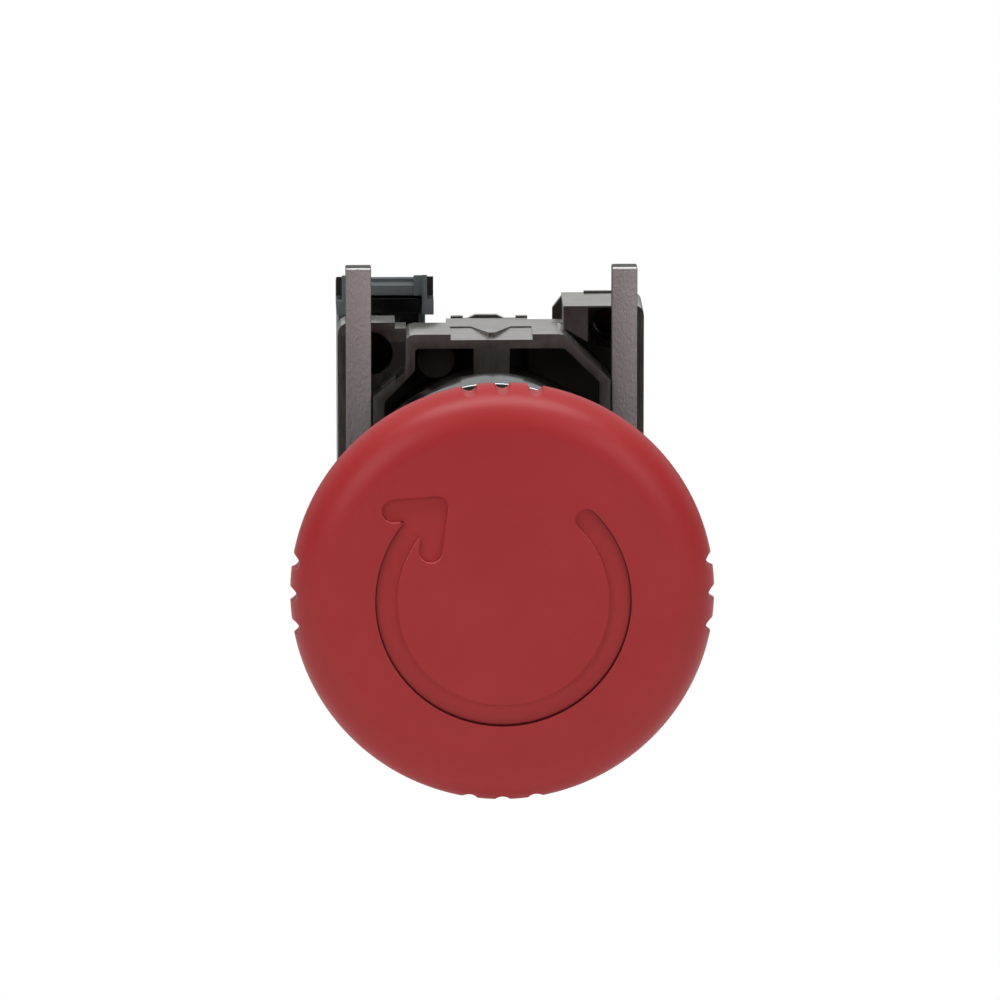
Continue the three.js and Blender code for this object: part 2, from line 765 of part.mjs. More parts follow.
function blockHousing() {
  const inside = BLOCK_RIGHT - BLOCK_WALL;
  const shell = cut(
    slab(sideView(0), [COVER_INNER + 0.05, BLOCK_RIGHT]),
    slab(sideView(BLOCK_WALL), [BLOCK_LEFT - 1, inside]),
  );
  const top = housingTop();
  const lowerHook = block([-8.7, -6.9], [15.2, BLOCK_FRONT + 0.2], [-13.6, -12.4]);
  const shelf = block([-13, inside + 0.1], [24.6, 25.6], [8.5, 16.7]);
  const contactRest = block([-8.35, inside + 0.1], [30, 35], [KNEE, KNEE + STRIP]);
  const latchSlot = block([-12.9, -8.3], [BLOCK_FRONT - 1, BLOCK_FRONT + 2], [16.85, 17.85]);
  const plungerSlot = block([-8.95, -7.3], [BLOCK_FRONT - 1, BLOCK_FRONT + 2], [-2.2, 2.2]);
  const screwWell = rod(2.75, BLOCK_REAR - 3, BLOCK_REAR + 1, TERMINAL_X, TERMINAL_Z);
  const twice = (made) => join(made, mirroredDown(made));
  const body = cut(
    join(shell, twice(top), twice(shelf), twice(contactRest), lowerHook),
    latchSlot,
    plungerSlot,
    twice(screwWell),
    twice(wireEntry()),
  );
  return plastic("block_housing", body, SLATE);
}

function blockCover() {
  const lid = slab(sideView(0), [BLOCK_LEFT, COVER_INNER]);
  const leftEar = cut(ear(BLOCK_LEFT - 0.25, COVER_INNER), earSlot(-16, -14.5));
  return plastic("block_cover", join(lid, leftEar, mirroredDown(leftEar)), SLATE);
}

// The black release latch: a front bar, a leg with the hook that holds the collar, and a guide stem.
function blockLatch() {
  const bar = new THREE.Shape();
  bar.moveTo(-13.6, 17);
  bar.lineTo(-6.75, 17);
  bar.lineTo(-6.75, 17.95);
  bar.quadraticCurveTo(-6.75, 18.5, -7.3, 18.5);
  bar.lineTo(-13.6, 18.5);
  bar.closePath();
  const body = join(
    plate(bar, EAR_FRONT + 0.2, 19.9),
    block([-8.7, -6.9], [17.6, 19.9], [12.4, 17.2]),
    block([-8.7, -6.9], [15.2, 18], [12.4, 13.6]),
    block([-12.7, -8.5], [19.7, 23.6], [17, 17.6]),
  );
  return plastic("block_latch", body, BLACK);
}

function contactPlunger() {
  const slot = block([-11.8, -8.4], [BRIDGE_FRONT - 0.2, BRIDGE_FRONT + STRIP + 0.2], [-3, 3]);
  const body = join(
    block([-8.75, -7.5], [16.9, 26], [-2, 2]),
    block([-12.6, -7.5], [25, 34.4], [-2.6, 2.6]),
  );
  return plastic("contact_plunger", cut(body, slot), CREAM);
}

function contactBridge() {
  const strip = block([-11.6, -8.6], [BRIDGE_FRONT, BRIDGE_FRONT + STRIP], [-8, 8]);
  return metal("contact_bridge", strip, BRASS);
}

function contactTip(name, rear, z) {
  return metal(name, rod(1.2, rear - 0.55, rear, CONTACT_X, z, 16), SILVER);
}

function contactSpring() {
  const coil = wireAlong(new Coil(1.9, 0.25, 5, 34.6, 41.7), 0.25, 45);
  return metal("contact_spring", coil.translate(CONTACT_X, 0, 0), STEEL);
}

// A bent strip from the contact tip, back along the block and out to the terminal.
function fixedContact(name, side) {
  const terminal = 36;
  const strip = slab(
    [
      [ARM_FRONT, 5.2],
      [ARM_FRONT + STRIP, 5.2],
      [ARM_FRONT + STRIP, KNEE],
      [terminal + STRIP, KNEE],
      [terminal + STRIP, 13.3],
      [terminal, 13.3],
      [terminal, KNEE + STRIP],
      [ARM_FRONT, KNEE + STRIP],
    ],
    [TERMINAL_X - 2.2, TERMINAL_X + 2.2],
  );
  const body = cut(strip, rod(1.75, 30, 40, TERMINAL_X, TERMINAL_Z));
  return metal(name, side < 0 ? mirroredDown(body) : body, BRASS);
}

function terminalClamp(name, z) {
  const body = cut(
    block([TERMINAL_X - 2.7, TERMINAL_X + 2.7], [39.2, 40.3], [z - CLAMP_HALF, z + CLAMP_HALF]),
    rod(1.8, 38, 42, TERMINAL_X, z),
  );
  return metal(name, body, STEEL);
}

function terminalScrew(name, z) {
  const rear = 42.7;
  const body = join(
    rod(1.6, 34, 41, TERMINAL_X, z),
    rod(2.4, 40.5, rear, TERMINAL_X, z),
  );
  const recess = join(
    block([TERMINAL_X - 1.7, TERMINAL_X + 1.7], [rear - 1.3, rear + 1], [z - 0.35, z + 0.35]),
    block([TERMINAL_X - 0.35, TERMINAL_X + 0.35], [rear - 1.3, rear + 1], [z - 1.7, z + 1.7]),
  );
  return metal(name, cut(body, recess), STEEL);
}

// ---- Assembly ----

const head = new THREE.Group();
head.add(mushroomCap(), spindle(), capClip(), actuatorPlate(), plateClip());

const front = new THREE.Group();
front.add(
  bezel(),
  panelGasket(),
  latchInsert(),
  latchPawl("latch_pawl_right", 0),
  latchPawl("latch_pawl_left", 180),
  latchRingSpring(),
  stemSeal(),
  springSeat(),
  insertCirclip(),
  returnSpring(),
);

const clamps = new THREE.Group();
clamps.add(
  fixingCollar(),
  lockRing(),
  clampBar("clamp_bar_left", -1, LOW_HOLE_Z, -TALL_HOLE_Z),
  clampBar("clamp_bar_right", 1, TALL_HOLE_Z, -LOW_HOLE_Z),
  clampScrew("clamp_screw_left", -HOLE_X, LOW_HOLE_Z),
  clampScrew("clamp_screw_right", HOLE_X, TALL_HOLE_Z),
);

const contactBlock = new THREE.Group();
contactBlock.add(
  blockHousing(),
  blockCover(),
  blockLatch(),
  contactPlunger(),
  contactBridge(),
  contactSpring(),
);
for (const [place, side] of [["top", 1], ["bottom", -1]]) {
  contactBlock.add(
    contactTip("moving_tip_" + place, BRIDGE_FRONT - 0.02, side * TIP_Z),
    contactTip("fixed_tip_" + place, ARM_FRONT + STRIP + 0.6, side * TIP_Z),
    fixedContact("fixed_contact_" + place, side),
    terminalClamp("terminal_clamp_" + place, side * TERMINAL_Z),
    terminalScrew("terminal_screw_" + place, side * TERMINAL_Z),
  );
}

const group = new THREE.Group();
group.add(head, front, clamps, contactBlock);

export default group;
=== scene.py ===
# An emergency stop button for a control panel: a red mushroom head, a chromed bezel, a cast collar that
# clamps it from behind the panel, and one slate grey contact block. The file follows the button as it is
# put together, from the bezel to the terminal screws. Sizes are in millimetres until a mesh is made.

import math

import bmesh
import bpy
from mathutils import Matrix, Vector


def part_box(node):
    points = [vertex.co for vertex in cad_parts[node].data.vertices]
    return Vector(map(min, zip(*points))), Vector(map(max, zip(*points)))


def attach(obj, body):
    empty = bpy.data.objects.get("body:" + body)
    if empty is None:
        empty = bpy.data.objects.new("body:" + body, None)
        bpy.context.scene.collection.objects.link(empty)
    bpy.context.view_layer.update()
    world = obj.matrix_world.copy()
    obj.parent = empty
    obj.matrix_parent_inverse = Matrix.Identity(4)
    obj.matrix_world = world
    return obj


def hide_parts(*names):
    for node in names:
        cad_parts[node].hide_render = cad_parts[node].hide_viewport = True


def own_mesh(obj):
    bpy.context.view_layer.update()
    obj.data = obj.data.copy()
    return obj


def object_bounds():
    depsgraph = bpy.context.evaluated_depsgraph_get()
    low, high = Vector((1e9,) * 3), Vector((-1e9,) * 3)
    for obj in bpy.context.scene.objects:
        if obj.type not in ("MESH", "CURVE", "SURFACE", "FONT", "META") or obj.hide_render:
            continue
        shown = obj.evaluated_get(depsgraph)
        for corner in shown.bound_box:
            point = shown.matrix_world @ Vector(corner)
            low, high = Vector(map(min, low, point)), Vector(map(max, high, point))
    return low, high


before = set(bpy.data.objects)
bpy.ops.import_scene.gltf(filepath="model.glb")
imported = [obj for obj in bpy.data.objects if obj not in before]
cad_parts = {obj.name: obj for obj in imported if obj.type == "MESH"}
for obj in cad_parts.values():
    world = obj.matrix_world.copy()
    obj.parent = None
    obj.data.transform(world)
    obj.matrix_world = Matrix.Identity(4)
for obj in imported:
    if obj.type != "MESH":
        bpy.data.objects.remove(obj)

scene = bpy.context.scene
cad_low, cad_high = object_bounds()


# ---- The camera ----
# It looks at the face of the head from a little above and a touch to the left, from about a metre away.

ELEVATION = math.radians(11.7)
AZIMUTH = math.radians(-1.46)
CAMERA_DISTANCE = 1.0445
AIM = Vector((0.0004, -0.0100, 0.0038))

back = Vector((
    math.sin(AZIMUTH) * math.cos(ELEVATION),
    -math.cos(AZIMUTH) * math.cos(ELEVATION),
    math.sin(ELEVATION),
))
lens = bpy.data.cameras.new("camera")
lens.lens = 390
lens.sensor_width = 36
camera = bpy.data.objects.new("camera", lens)
camera.location = AIM + CAMERA_DISTANCE * back
camera.rotation_euler = (-back).to_track_quat("-Z", "Y").to_euler()
scene.collection.objects.link(camera)
scene.camera = camera
scene.view_settings.view_transform = "Standard"


# ---- The studio ----
# A white room with a bright ceiling and a bright wall behind the button, and a dim side in front of it,
# so that polished tops shine and upright metal faces stay dark. The floor is pale and plain.

class Amount:
    """A shader value that plain arithmetic works on."""

    def __init__(self, nodes, socket):
        self.nodes = nodes
        self.socket = socket

    def reckon(self, operation, *values):
        made = self.nodes.node("ShaderNodeMath", {"operation": operation}, dict(enumerate(values)))
        return Amount(self.nodes, made.outputs[0])

    def __add__(self, other):
        return self.reckon("ADD", self, other)

    def __sub__(self, other):
        return self.reckon("SUBTRACT", self, other)

    def __rsub__(self, other):
        return self.reckon("SUBTRACT", other, self)

    def __mul__(self, other):
        return self.reckon("MULTIPLY", self, other)

    def __abs__(self):
        return self.reckon("ABSOLUTE", self)

    __radd__ = __add__
    __rmul__ = __mul__


class Nodes:
    """The nodes of one material, floor or sky."""

    def __init__(self, tree):
        self.tree = tree

    def feed(self, socket, value):
        if isinstance(value, Amount):
            value = value.socket
        if isinstance(value, bpy.types.NodeSocket):
            self.tree.links.new(value, socket)
        else:
            socket.default_value = value

    def node(self, kind, settings, sockets):
        made = self.tree.nodes.new(kind)
        for name, value in settings.items():
            setattr(made, name, value)
        for key, value in sockets.items():
            self.feed(made.inputs[key], value)
        return made

    def split(self, vector):
        parts = self.node("ShaderNodeSeparateXYZ", {}, {0: vector})
        return [Amount(self, socket) for socket in parts.outputs]

    def ramp(self, value, start, end):
        """Rises smoothly from 0 at start to 1 at end."""
        settings = {"interpolation_type": "SMOOTHSTEP"}
        sockets = {"Value": value, "From Min": start, "From Max": end}
        return Amount(self, self.node("ShaderNodeMapRange", settings, sockets).outputs[0])


room = bpy.data.worlds.new("room")
room.use_nodes = True
scene.world = room
sky = Nodes(room.node_tree)
sky_shader = room.node_tree.nodes["Background"]
_, sky_y, sky_z = sky.split(sky.node("ShaderNodeTexCoord", {}, {}).outputs["Generated"])
ceiling = sky.ramp(sky_z, 0.45, 0.95)
rear_wall = sky.ramp(sky_y, 0.05, 0.6) * sky.ramp(sky_z, -0.02, 0.12)
glow = 0.055 + 0.20 * ceiling + 0.44 * rear_wall
seen = Amount(sky, sky.node("ShaderNodeLightPath", {}, {}).outputs["Is Camera Ray"])
sky.feed(sky_shader.inputs["Strength"], glow * (1 - seen) + seen)
sky.feed(sky_shader.inputs["Color"], (1, 1, 1, 1))

FLOOR_DROP = 0.012
FLOOR_ACROSS = 8
bpy.ops.mesh.primitive_plane_add(size=FLOOR_ACROSS, location=(0, 0, cad_low.z - FLOOR_DROP))
floor = bpy.context.object
floor.name = "studio_floor"
floor_finish = bpy.data.materials.new("studio_floor")
floor_finish.use_nodes = True
floor.data.materials.append(floor_finish)
boards = Nodes(floor_finish.node_tree)
floor_seen = boards.node("ShaderNodeLightPath", {}, {}).outputs["Is Camera Ray"]
floor_paint = boards.node("ShaderNodeBsdfDiffuse", {}, {"Color": (0.80, 0.80, 0.80, 1)})
floor_light = boards.node("ShaderNodeEmission", {}, {"Color": (1, 1, 1, 1), "Strength": 1.0})
floor_mix = boards.node("ShaderNodeMixShader", {}, {
    0: floor_seen, 1: floor_paint.outputs[0], 2: floor_light.outputs[0],
})
boards.feed(floor_finish.node_tree.nodes["Material Output"].inputs["Surface"], floor_mix.outputs[0])

SOFTBOXES = [
    # name, place, watts, width and height in metres
    ("top_softbox", (0.00, -0.08, 0.55), 2.3, 0.60, 0.20),
    ("left_softbox", (-0.55, -0.62, 0.42), 1.45, 0.45, 0.45),
    ("right_softbox", (0.55, -0.62, 0.42), 1.28, 0.45, 0.45),
]
for softbox_name, place, watts, width, height in SOFTBOXES:
    softbox = bpy.data.lights.new(softbox_name, "AREA")
    softbox.shape = "RECTANGLE"
    softbox.size = width
    softbox.size_y = height
    softbox.energy = watts
    stand = bpy.data.objects.new(softbox_name, softbox)
    stand.location = place
    stand.rotation_euler = (Vector(place) * -1).to_track_quat("-Z", "Y").to_euler()
    scene.collection.objects.link(stand)


# ---- The bezel ----
# A zinc die casting with bright chrome plate: the flange on the panel, the tube that the head slides over
# and the neck that goes through the panel. The groove near its rear end takes the lock ring's teeth.

MM = 0.001


class Finish(Nodes):
    """A material: its shader, its place on the object and the marks that several finishes share."""

    def __init__(self, name, roughness, metallic):
        self.material = bpy.data.materials.new(name)
        self.material.use_nodes = True
        super().__init__(self.material.node_tree)
        self.shader = self.tree.nodes["Principled BSDF"]
        self.place = self.node("ShaderNodeTexCoord", {}, {}).outputs["Object"]
        self.feed(self.shader.inputs["Roughness"], roughness)
        self.feed(self.shader.inputs["Metallic"], metallic)

    def grain(self, size, detail=2.0, stretch=(1, 1, 1)):
        """Cloudy noise from 0 to 1. Its clouds are about size millimetres across."""
        scale = [1 / (size * MM * s) for s in stretch]
        place = self.node("ShaderNodeMapping", {}, {"Vector": self.place, "Scale": scale})
        sockets = {"Vector": place.outputs[0], "Scale": 1.0, "Detail": detail, "Roughness": 0.55}
        return Amount(self, self.node("ShaderNodeTexNoise", {}, sockets).outputs[0])

    def tint(self, share, low, high):
        """A colour that goes from low to high with share."""
        low, high = [(*shade, 1) if isinstance(shade, tuple) else shade for shade in (low, high)]
        sockets = {"Factor": share, 6: low, 7: high}
        return self.node("ShaderNodeMix", {"data_type": "RGBA"}, sockets).outputs[2]

    def paint(self, share, low, high):
        self.feed(self.shader.inputs["Base Color"], self.tint(share, low, high))

    def facing(self):
        """The flat direction that each face looks in, as x, y and z."""
        return self.split(self.node("ShaderNodeNewGeometry", {}, {}).outputs["True Normal"])

    def relief(self, height, depth):
        """Lifts the surface by height, from 0 to 1, times depth millimetres."""
        sockets = {"Strength": 1.0, "Distance": depth * MM, "Height": height}
        bump = self.node("ShaderNodeBump", {}, sockets)
        self.feed(self.shader.inputs["Normal"], bump.outputs[0])

    def gloss(self, roughness):
        self.feed(self.shader.inputs["Roughness"], roughness)


chrome = Finish("chrome_plate", 0.1, 1.0)
smears = chrome.grain(4, 3)
scratches = chrome.grain(0.35, 2, (1, 14, 1))
chrome.paint(smears, (0.31, 0.32, 0.33), (0.43, 0.44, 0.45))
chrome.gloss(0.07 + 0.10 * smears + 0.05 * scratches)
chrome.relief(scratches, 0.0015)


def turned(name, profile, steps, closed=True):
    """Spins (radius, y) points about the button's axis."""
    shape = bmesh.new()
    corners = [shape.verts.new((radius * MM, y * MM, 0)) for radius, y in profile]
    pairs = list(zip(corners, corners[1:]))
    if closed:
        pairs.append((corners[-1], corners[0]))
    edges = [shape.edges.new(pair) for pair in pairs]
    bmesh.ops.spin(
        shape, geom=corners + edges, cent=(0, 0, 0), axis=(0, 1, 0), dvec=(0, 0, 0),
        angle=2 * math.pi, steps=steps, use_merge=True, use_duplicate=False,
    )
    bmesh.ops.remove_doubles(shape, verts=shape.verts, dist=1e-7)
    bmesh.ops.recalc_face_normals(shape, faces=shape.faces)
    return finished(shape, name)


def finished(shape, name):
    """Turns a bmesh into a smooth-shaded object in the scene."""
    mesh = bpy.data.meshes.new(name)
    shape.to_mesh(mesh)
    shape.free()
    for face in mesh.polygons:
        face.use_smooth = True
    made = bpy.data.objects.new(name, mesh)
    scene.collection.objects.link(made)
    return made


def soften(made, width, segments=2, angle=30):
    """Rounds every edge sharper than angle by width millimetres."""
    rounding = made.modifiers.new("rounded_edges", "BEVEL")
    rounding.width = width * MM
    rounding.segments = segments
    rounding.limit_method = "ANGLE"
    rounding.angle_limit = math.radians(angle)
    rounding.harden_normals = True
    return made


def fit(made, body, slot, finish, *nodes):
    """Gives a piece its finish and its body, and hides the CAD nodes it stands for."""
    made.data.materials.clear()
    made.data.materials.append(finish.material)
    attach(made, body)
    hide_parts(*nodes)
    return made


def trimmed(node, name, edge):
    """A merged copy of a CAD node with its flat faces whole again and its edges rounded."""
    shape = bmesh.new()
    shape.from_mesh(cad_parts[node].data)
    bmesh.ops.remove_doubles(shape, verts=shape.verts, dist=2e-6)
    bmesh.ops.dissolve_limit(
        shape, angle_limit=math.radians(0.5), verts=shape.verts, edges=shape.edges,
        use_dissolve_boundaries=False,
    )
    made = finished(shape, name)
    return soften(made, edge)


bezel_low, bezel_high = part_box("bezel")
flange_radius = bezel_high.x / MM
guide_front = bezel_low.y / MM
neck_rear = bezel_high.y / MM
FLANGE_FRONT = -5.0
FLANGE_REAR = -0.85
FLANGE_BORE = 13.4
CUP_FLOOR = -2.0
GUIDE_INNER, GUIDE_OUTER = 10.2, 11.4
NECK_BORE, NECK_RADIUS = 9.0, 10.9
GROOVE_RADIUS = 10.1
GROOVE_FRONT, GROOVE_REAR = 16.7, 18.5
bezel_body = turned("bezel_casting", [
    (FLANGE_BORE, FLANGE_FRONT + 0.25),
    (FLANGE_BORE + 0.25, FLANGE_FRONT),
    (flange_radius - 0.75, FLANGE_FRONT),
    (flange_radius - 0.3, FLANGE_FRONT + 0.14),
    (flange_radius - 0.06, FLANGE_FRONT + 0.55),
    (flange_radius, FLANGE_FRONT + 1.0),
    (flange_radius, FLANGE_REAR),
    (NECK_RADIUS, FLANGE_REAR),
    (NECK_RADIUS, GROOVE_FRONT),
    (GROOVE_RADIUS, GROOVE_FRONT),
    (GROOVE_RADIUS, GROOVE_REAR),
    (NECK_RADIUS, GROOVE_REAR),
    (NECK_RADIUS, neck_rear),
    (NECK_BORE, neck_rear),
    (NECK_BORE, CUP_FLOOR),
    (GUIDE_INNER, CUP_FLOOR),
    (GUIDE_INNER, guide_front),
    (GUIDE_OUTER, guide_front),
    (GUIDE_OUTER, CUP_FLOOR),
    (FLANGE_BORE, CUP_FLOOR),
], 144)
soften(bezel_body, 0.12)
fit(bezel_body, "fixed_body", "chrome_metal", chrome, "bezel")


# ---- The panel gasket ----
# A flat ring of black rubber under the flange, with two fine sealing ribs on its panel side.

rubber = Finish("seal_rubber", 0.75, 0.0)
dust = rubber.grain(1.2, 4)
rubber.paint(dust, (0.012, 0.012, 0.012), (0.035, 0.034, 0.033))
rubber.gloss(0.68 + 0.2 * dust)
rubber.relief(rubber.grain(0.12, 3), 0.01)

GASKET_INNER, GASKET_OUTER = 11.2, 14.3
GASKET_FRONT, GASKET_REAR = -0.8, -0.1
gasket = turned("gasket_ring", [
    (GASKET_INNER, GASKET_FRONT), (GASKET_OUTER, GASKET_FRONT), (GASKET_OUTER, GASKET_REAR),
    (14.1, 0.0), (13.9, GASKET_REAR), (13.0, GASKET_REAR), (12.8, 0.0), (12.6, GASKET_REAR),
    (GASKET_INNER, GASKET_REAR),
], 120)
fit(gasket, "fixed_body", "seal_rubber", rubber, "panel_gasket")


# ---- The guide sleeve and the latch ----
# A cream nylon sleeve in the neck guides the spindle. Two steel pawls look through its windows, and a
# ring spring draws them together over the spindle's ramp.

nylon = Finish("cream_nylon", 0.5, 0.0)
flow = nylon.grain(3, 3, (1, 4, 1))
nylon.paint(flow, (0.56, 0.53, 0.42), (0.66, 0.63, 0.53))
nylon.gloss(0.42 + 0.16 * flow)
nylon.relief(nylon.grain(0.15, 2), 0.006)

plated = Finish("zinc_plated_steel", 0.3, 1.0)
bloom = plated.grain(1.6, 4)
draw_lines = plated.grain(0.25, 2, (1, 8, 1))
plated.paint(bloom, (0.50, 0.50, 0.49), (0.72, 0.72, 0.70))
plated.gloss(0.22 + 0.16 * bloom + 0.06 * draw_lines)
plated.relief(draw_lines, 0.003)

sleeve = trimmed("latch_insert", "guide_sleeve", 0.12)
fit(sleeve, "fixed_body", "cream_plastic", nylon, "latch_insert")

for side in ("left", "right"):
    pawl = trimmed("latch_pawl_" + side, "pawl_" + side, 0.25)
    fit(pawl, "pawl_" + side, "spring_steel", plated, "latch_pawl_" + side)

music_wire = Finish("music_wire", 0.25, 1.0)
wire_marks = music_wire.grain(0.5, 3)
music_wire.paint(wire_marks, (0.42, 0.41, 0.39), (0.62, 0.61, 0.59))
music_wire.gloss(0.18 + 0.16 * wire_marks)
music_wire.relief(wire_marks, 0.004)


def coil(name, centre_x, radius, wire, front, stages, sides=10, steps=36):
    """Winds wire from front towards +Y. A stage is a number of turns and the pitch they rise at."""
    shape = bmesh.new()
    section = bmesh.ops.create_circle(shape, radius=wire * MM, segments=sides)["verts"]
    start = ((centre_x + radius) * MM, (front + wire) * MM, 0)
    bmesh.ops.translate(shape, verts=section, vec=start)
    live = list(shape.verts) + list(shape.edges)
    ends = [list(shape.edges)]
    for turns, pitch in stages:
        count = max(4, round(turns * steps))
        rise = (0, turns * pitch * MM / count, 0)
        made = bmesh.ops.spin(
            shape, geom=live, cent=(centre_x * MM, 0, 0), axis=(0, 1, 0), dvec=rise,
            angle=-2 * math.pi * turns, steps=count, use_merge=False, use_duplicate=False,
        )
        live = made["geom_last"]
    ends.append([part for part in live if isinstance(part, bmesh.types.BMEdge)])
    for rim in ends:
        bmesh.ops.contextual_create(shape, geom=rim)
    bmesh.ops.recalc_face_normals(shape, faces=shape.faces)
    return finished(shape, name)


RING_RADIUS = 8.25
RING_WIRE = 0.35
RING_FRONT = 8.65
latch_ring = coil("latch_ring_wire", 0, RING_RADIUS, RING_WIRE, RING_FRONT, [(0.94, 0.0)], 10, 120)
fit(latch_ring, "fixed_body", "spring_steel", music_wire, "latch_ring_spring")


# ---- The stem seal, the spring seat and the circlip ----
# A lipped rubber ring wipes the spindle in the sleeve's mouth, a steel washer over it carries the return
# spring, and a circlip in the neck holds the sleeve.

lip_seal = trimmed("stem_seal", "stem_lip_seal", 0.08)
fit(lip_seal, "fixed_body", "seal_rubber", rubber, "stem_seal")
seat = trimmed("spring_seat", "spring_seat_washer", 0.08)
fit(seat, "fixed_body", "spring_steel", plated, "spring_seat")
circlip = trimmed("insert_circlip", "neck_circlip", 0.08)
fit(circlip, "fixed_body", "spring_steel", plated, "insert_circlip")


# ---- The spindle, its plate and the clips ----
# A turned and plated steel stem that joins the head to the latch. A black plate on its rear end, held by
# an E-clip, pushes the contact blocks. A toothed clip locks its front end in the head.

SHAFT = 3.0
RAMP_RADIUS = 4.0
TAIL_RADIUS = 2.4
CLIP_GROOVE = 1.9
stem = turned("spindle_stem", [
    (0, -35.0), (SHAFT - 0.3, -35.0), (SHAFT, -34.7), (SHAFT, 4.0),
    (3.2, 4.0), (RAMP_RADIUS, 9.0), (RAMP_RADIUS, 14.2), (RAMP_RADIUS - 0.2, 14.4),
    (TAIL_RADIUS, 14.4), (TAIL_RADIUS, 16.35), (CLIP_GROOVE, 16.35), (CLIP_GROOVE, 17.05),
    (TAIL_RADIUS, 17.05), (TAIL_RADIUS, 17.3), (TAIL_RADIUS - 0.3, 17.6), (0, 17.6),
], 64, closed=False)
soften(stem, 0.05)
fit(stem, "button_head", "spring_steel", plated, "spindle")

black_nylon = Finish("black_nylon", 0.5, 0.0)
sheen = black_nylon.grain(2.5, 3)
black_nylon.paint(sheen, (0.001, 0.001, 0.0012), (0.003, 0.003, 0.0035))
black_nylon.feed(black_nylon.shader.inputs["Specular IOR Level"], 0.12)
black_nylon.gloss(0.26 + 0.16 * sheen)
black_nylon.relief(black_nylon.grain(0.14, 2), 0.008)

push_plate = trimmed("actuator_plate", "push_plate", 0.15)
fit(push_plate, "button_slide", "black_plastic", black_nylon, "actuator_plate")
e_clip = trimmed("plate_clip", "plate_e_clip", 0.06)
fit(e_clip, "button_head", "spring_steel", plated, "plate_clip")
star_clip = trimmed("cap_clip", "cap_star_clip", 0.05)
fit(star_clip, "button_head", "spring_steel", plated, "cap_clip")


# ---- The return spring ----
# Spring wire wound with a closed turn at each end. It sits on the washer and lifts the head by its clip.

SPRING_REAR = -2.1
SPRING_FRONT = -26.4
SPRING_RADIUS = 4.6
SPRING_WIRE = 0.5
CLOSED_PITCH = 1.15
OPEN_TURNS = 5
open_length = SPRING_REAR - SPRING_FRONT - 2 * SPRING_WIRE - 2 * CLOSED_PITCH
return_coil = coil("return_coil", 0, SPRING_RADIUS, SPRING_WIRE, SPRING_FRONT, [
    (1, CLOSED_PITCH), (OPEN_TURNS, open_length / OPEN_TURNS), (1, CLOSED_PITCH),
])
fit(return_coil, "fixed_body", "spring_steel", music_wire, "return_spring")
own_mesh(return_coil)


# ---- The mushroom head ----
# One red moulding: a slightly domed face with a rounded edge, four groups of three grip notches in the
# rim, an engraved arrow that shows which way to turn, and a flared skirt that slides over the bezel.

cap_low, cap_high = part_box("mushroom_cap")
CAP_RADIUS = 20.0
cap_front = cap_low.y / MM
skirt_rear = cap_high.y / MM
RIM_REAR = -33.1
EDGE_ACROSS = 4.4
EDGE_ALONG = 4.2
CROWN_RADIUS = 203.0
SKIRT_INNER, SKIRT_OUTER = 11.8, 13.0
FLARE = 9
BOSS_RADIUS = 5.2
BOSS_REAR = -27.2
SOCKET_RADIUS = 3.15
SOCKET_FLOOR = -35.2


def crown(radius):
    """How far forward the domed face is at a radius."""
    return cap_front + radius ** 2 / (2 * CROWN_RADIUS)


def sweep(start, bend, end, steps):
    """Points on a curve that leaves start towards bend and comes to end from it."""
    points = []
    for step in range(steps + 1):
        t = step / steps
        points.append(tuple(
            (1 - t) ** 2 * a + 2 * t * (1 - t) * b + t * t * c for a, b, c in zip(start, bend, end)
        ))
    return points


edge_start = CAP_RADIUS - EDGE_ACROSS
face_line = [(edge_start * step / 26, crown(edge_start * step / 26)) for step in range(27)]
edge_line = []
for degrees in range(5, 91, 5):
    turn = math.radians(degrees)
    edge_line.append((
        edge_start + EDGE_ACROSS * math.sin(turn),
        crown(edge_start) + EDGE_ALONG * (1 - math.cos(turn)),
    ))
cap_line = face_line + edge_line + [
    (CAP_RADIUS, RIM_REAR - 0.45),
    (CAP_RADIUS - 0.13, RIM_REAR - 0.13),
    (CAP_RADIUS - 0.45, RIM_REAR),
]
cap_line += sweep((18.2, RIM_REAR), (SKIRT_OUTER, RIM_REAR + 0.5), (SKIRT_OUTER, RIM_REAR + FLARE), 16)
cap_line += [(SKIRT_OUTER, skirt_rear), (SKIRT_INNER, skirt_rear)]
cap_line += sweep((SKIRT_INNER, RIM_REAR + FLARE), (SKIRT_INNER, RIM_REAR + 0.2), (16.6, RIM_REAR - 1), 10)
cap_line += [
    (15.2, -36.4), (BOSS_RADIUS, -36.6), (BOSS_RADIUS, BOSS_REAR),
    (SOCKET_RADIUS, BOSS_REAR), (SOCKET_RADIUS, SOCKET_FLOOR), (0, SOCKET_FLOOR),
]
cap = turned("mushroom_head", cap_line, 216, closed=False)


def upright(name, outline, rear):
    """A cutter with an outline in x and z. It reaches from before the face to rear."""
    shape = bmesh.new()
    corners = [shape.verts.new((x * MM, (cap_front - 1) * MM, z * MM)) for x, z in outline]
    face = shape.faces.new(corners)
    made = bmesh.ops.extrude_face_region(shape, geom=[face])["geom"]
    moved = [part for part in made if isinstance(part, bmesh.types.BMVert)]
    bmesh.ops.translate(shape, verts=moved, vec=(0, (rear - cap_front + 1) * MM, 0))
    bmesh.ops.recalc_face_normals(shape, faces=shape.faces)
    return finished(shape, name)


def arc(x, z, radius, start, end, steps):
    """Points on an arc in x and z, with its angles in degrees from +x towards +z."""
    turns = [math.radians(start + (end - start) * step / steps) for step in range(steps + 1)]
    return [(x + radius * math.cos(turn), z + radius * math.sin(turn)) for turn in turns]


